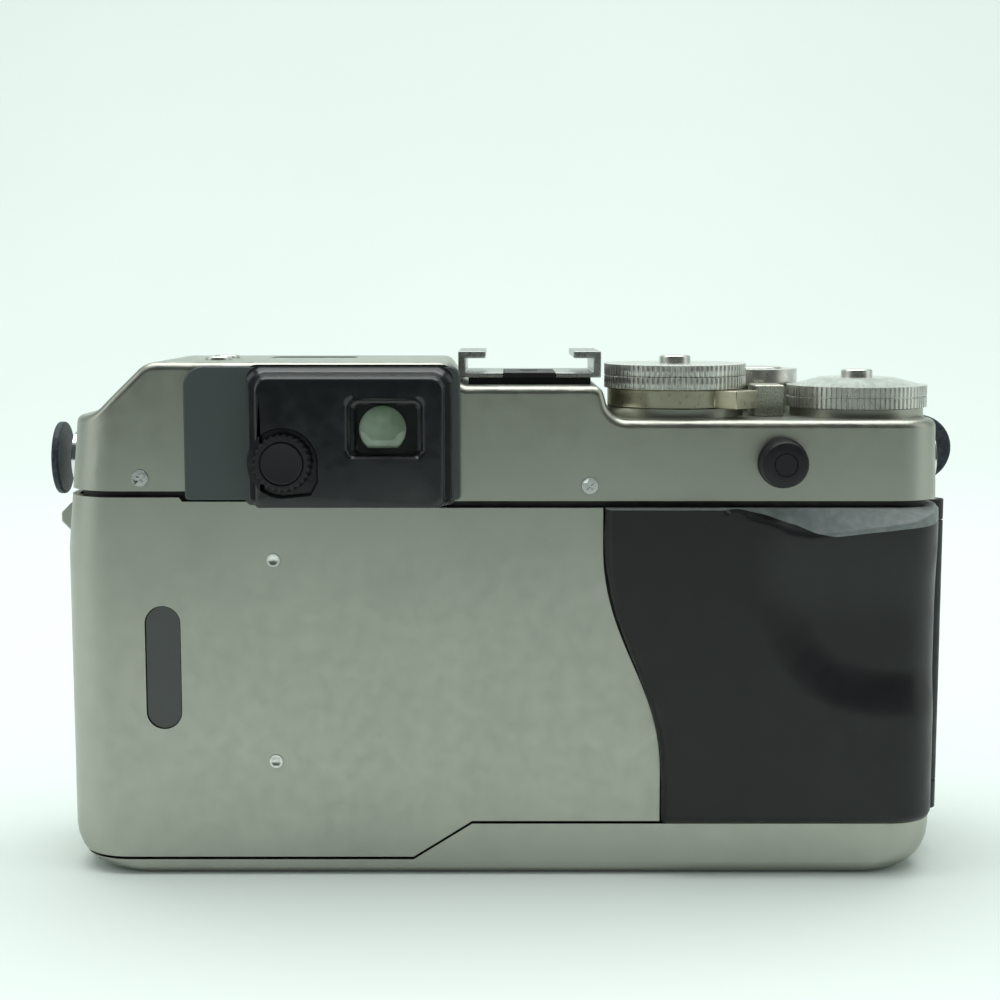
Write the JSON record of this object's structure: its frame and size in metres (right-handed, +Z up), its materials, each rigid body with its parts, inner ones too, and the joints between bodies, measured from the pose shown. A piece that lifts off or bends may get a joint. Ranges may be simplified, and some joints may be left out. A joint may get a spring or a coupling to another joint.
{
  "type": "35 mm rangefinder camera",
  "caption": "Compact 35 mm rangefinder camera body with a short fixed-length lens, opening film door, top dials, eyepiece block, hot shoe, thumb grip, strap lugs and a tripod socket.",
  "frame": {"origin": "mouth of the tripod socket in the base, under the lens axis", "axes": "+X towards the viewer's right hand, +Y forward along the lens, +Z up"},
  "size_m": [0.1402, 0.076, 0.0768],
  "materials": {
    "titanium_cover": "satin champagne-grey plated metal covers",
    "dial_metal": "satin turned metal of dials, rings and buttons",
    "chrome_metal": "bright chrome plate",
    "cast_alloy": "dark die-cast alloy",
    "dark_metal": "matt black painted metal",
    "steel": "plain turned steel",
    "grip_rubber": "satin black moulded rubber",
    "black_plastic": "matt black plastic",
    "black_gloss": "polished black plastic with worn edges",
    "guard_leather": "blue-black grained leather",
    "smoked_glass": "dark glass",
    "clear_glass": "clear coated glass",
    "cell_wrap": "blue printed film over steel"
  },
  "bodies": {
    "camera_body": {"chassis": "cast_alloy", "top_cover": "titanium_cover", "base_cover": "titanium_cover", "front_cover": "titanium_cover", "front_grip": "grip_rubber", "hinge_bracket": "dark_metal", "hinge_pin": "steel", "cover_screws": "chrome_metal", "eyepiece_housing": "black_gloss", "eyepiece_lens": "clear_glass", "finder_block": "black_plastic", "sync_socket": "chrome_metal", "hot_shoe": "chrome_metal", "shoe_base": "black_plastic", "index_block": "titanium_cover", "counter_window": "smoked_glass", "strap_lugs": "chrome_metal", "lug_guards": "guard_leather", "mount_ring": "chrome_metal", "front_windows": "smoked_glass", "timer_lamp": "black_gloss", "shutter_frame": "dark_metal", "film_gate": "dark_metal", "film_motor": "steel", "battery": "cell_wrap", "tripod_socket": "steel"},
    "door": {"door_panel": "titanium_cover", "thumb_grip": "grip_rubber", "door_frame": "dark_metal", "film_window": "smoked_glass", "door_rivets": "dial_metal", "pressure_springs": "steel"},
    "lens": {"lens_barrel": "titanium_cover", "lens_front": "titanium_cover", "lens_elements": "clear_glass"},
    "pressure_plate": {"pressure_plate": "dark_metal"},
    "door_latch": {"door_latch": "titanium_cover"},
    "diopter_dial": {"diopter_dial": "black_plastic"},
    "sync_cap": {"sync_cap": "black_plastic"},
    "shutter_dial": {"shutter_dial": "dial_metal"},
    "shutter_dial_lock": {"shutter_dial_lock": "dial_metal"},
    "compensation_ring": {"compensation_ring": "dial_metal"},
    "bracket_lever": {"bracket_lever": "dial_metal"},
    "release_button": {"release_button": "dial_metal"},
    "main_switch": {"main_switch": "dial_metal"},
    "focus_dial": {"focus_dial": "dial_metal"},
    "focus_dial_lock": {"focus_dial_lock": "dial_metal"},
    "drive_button": {"drive_button": "dial_metal"},
    "iso_button": {"iso_button": "dial_metal"},
    "lens_lock_pin": {"lens_lock_pin": "steel"},
    "lens_release_button": {"lens_release_button": "dial_metal"},
    "aperture_ring": {"aperture_ring": "dial_metal"},
    "shutter_blade_1": {"shutter_blade_1": "dark_metal"},
    "shutter_blade_2": {"shutter_blade_2": "dark_metal"},
    "shutter_blade_3": {"shutter_blade_3": "dark_metal"},
    "shutter_blade_4": {"shutter_blade_4": "dark_metal"},
    "take_up_spool": {"take_up_spool": "black_plastic"},
    "sprocket": {"sprocket": "black_plastic"},
    "rewind_fork": {"rewind_fork": "steel"},
    "battery_door": {"battery_door": "titanium_cover"}
  },
  "joints": [
    {"name": "door_hinge", "type": "hinge", "parent": "camera_body", "child": "door", "pos_m": [0.0612, 0, 0.03], "axis": [0, 0, 1], "range_deg": [0, 115]},
    {"name": "pressure_plate_press", "type": "slide", "parent": "door", "child": "pressure_plate", "axis": [0, -1, 0], "range_m": [0, 0.0008], "stiffness_N_per_m": 400, "deforming": ["pressure_springs"]},
    {"name": "latch_slide", "type": "slide", "parent": "camera_body", "child": "door_latch", "axis": [0, 0, -1], "range_m": [0, 0.005], "stiffness_N_per_m": 120},
    {"name": "diopter_turn", "type": "hinge", "parent": "camera_body", "child": "diopter_dial", "pos_m": [-0.0349, -0.018, 0.0614], "axis": [0, 1, 0], "range_deg": [-150, 150]},
    {"name": "sync_cap_pull", "type": "slide", "parent": "camera_body", "child": "sync_cap", "axis": [0, -1, 0], "range_m": [0, 0.012]},
    {"name": "shutter_dial_turn", "type": "hinge", "parent": "camera_body", "child": "shutter_dial", "pos_m": [0.022, 0, 0.074], "axis": [0, 0, 1], "range_deg": [-170, 170]},
    {"name": "shutter_dial_lock_press", "type": "slide", "parent": "shutter_dial", "child": "shutter_dial_lock", "axis": [0, 0, -1], "range_m": [0, 0.0008], "stiffness_N_per_m": 60},
    {"name": "compensation_turn", "type": "hinge", "parent": "camera_body", "child": "compensation_ring", "pos_m": [0.022, 0, 0.072], "axis": [0, 0, 1], "range_deg": [-60, 60]},
    {"name": "bracket_turn", "type": "hinge", "parent": "camera_body", "child": "bracket_lever", "pos_m": [0.022, 0, 0.07], "axis": [0, 0, 1], "range_deg": [-40, 0]},
    {"name": "focus_dial_turn", "type": "hinge", "parent": "camera_body", "child": "focus_dial", "pos_m": [0.0494, 0, 0.07], "axis": [0, 0, 1], "range_deg": [-150, 150]},
    {"name": "focus_dial_lock_press", "type": "slide", "parent": "focus_dial", "child": "focus_dial_lock", "axis": [0, 0, -1], "range_m": [0, 0.0008], "stiffness_N_per_m": 60},
    {"name": "release_press", "type": "slide", "parent": "camera_body", "child": "release_button", "axis": [0, 0, -1], "range_m": [0, 0.0008], "stiffness_N_per_m": 300},
    {"name": "main_switch_turn", "type": "hinge", "parent": "camera_body", "child": "main_switch", "pos_m": [0.0357, 0.011, 0.0724], "axis": [0, 0, 1], "range_deg": [0, 50]},
    {"name": "drive_press", "type": "slide", "parent": "camera_body", "child": "drive_button", "axis": [0, 0, -1], "range_m": [0, 0.0006], "stiffness_N_per_m": 300},
    {"name": "iso_press", "type": "slide", "parent": "camera_body", "child": "iso_button", "axis": [0, 0, -1], "range_m": [0, 0.0006], "stiffness_N_per_m": 300},
    {"name": "lens_release_press", "type": "slide", "parent": "camera_body", "child": "lens_release_button", "axis": [0, -1, 0], "range_m": [0, 0.0015], "stiffness_N_per_m": 300},
    {"name": "lens_lock_pin_slide", "type": "slide", "parent": "camera_body", "child": "lens_lock_pin", "axis": [0, -1, 0], "range_m": [0, 0.0015]},
    {"name": "lens_twist", "type": "hinge", "parent": "camera_body", "child": "lens", "pos_m": [0, 0.021, 0.0315], "axis": [0, 1, 0], "range_deg": [0, 60]},
    {"name": "aperture_turn", "type": "hinge", "parent": "lens", "child": "aperture_ring", "pos_m": [0, 0.05, 0.0315], "axis": [0, 1, 0], "range_deg": [-60, 60]},
    {"name": "shutter_blade_1_slide", "type": "slide", "parent": "camera_body", "child": "shutter_blade_1", "axis": [0, 0, -1], "range_m": [0, 0.0256]},
    {"name": "shutter_blade_2_slide", "type": "slide", "parent": "camera_body", "child": "shutter_blade_2", "axis": [0, 0, -1], "range_m": [0, 0.0194]},
    {"name": "shutter_blade_3_slide", "type": "slide", "parent": "camera_body", "child": "shutter_blade_3", "axis": [0, 0, -1], "range_m": [0, 0.0132]},
    {"name": "shutter_blade_4_slide", "type": "slide", "parent": "camera_body", "child": "shutter_blade_4", "axis": [0, 0, -1], "range_m": [0, 0.007]},
    {"name": "take_up_turn", "type": "hinge", "parent": "camera_body", "child": "take_up_spool", "pos_m": [0.0346, 0.0015, 0.03], "axis": [0, 0, 1], "continuous": true},
    {"name": "sprocket_turn", "type": "hinge", "parent": "camera_body", "child": "sprocket", "pos_m": [0.0242, -0.0042, 0.03], "axis": [0, 0, 1], "continuous": true},
    {"name": "rewind_turn", "type": "hinge", "parent": "camera_body", "child": "rewind_fork", "pos_m": [-0.0528, 0.002, 0.007], "axis": [0, 0, 1], "continuous": true},
    {"name": "battery_door_hinge", "type": "hinge", "parent": "camera_body", "child": "battery_door", "pos_m": [0.0399, 0.011, 0.00045], "axis": [0, 1, 0], "range_deg": [0, 90]}
  ],
  "couplings": [
    {"joint": "lens_lock_pin_slide", "follows": "lens_release_press", "ratio": 1},
    {"joint": "shutter_blade_2_slide", "follows": "shutter_blade_1_slide", "ratio": 0.75781},
    {"joint": "shutter_blade_3_slide", "follows": "shutter_blade_1_slide", "ratio": 0.51562},
    {"joint": "shutter_blade_4_slide", "follows": "shutter_blade_1_slide", "ratio": 0.27344},
    {"joint": "sprocket_turn", "follows": "take_up_turn", "ratio": 1.2}
  ]
}
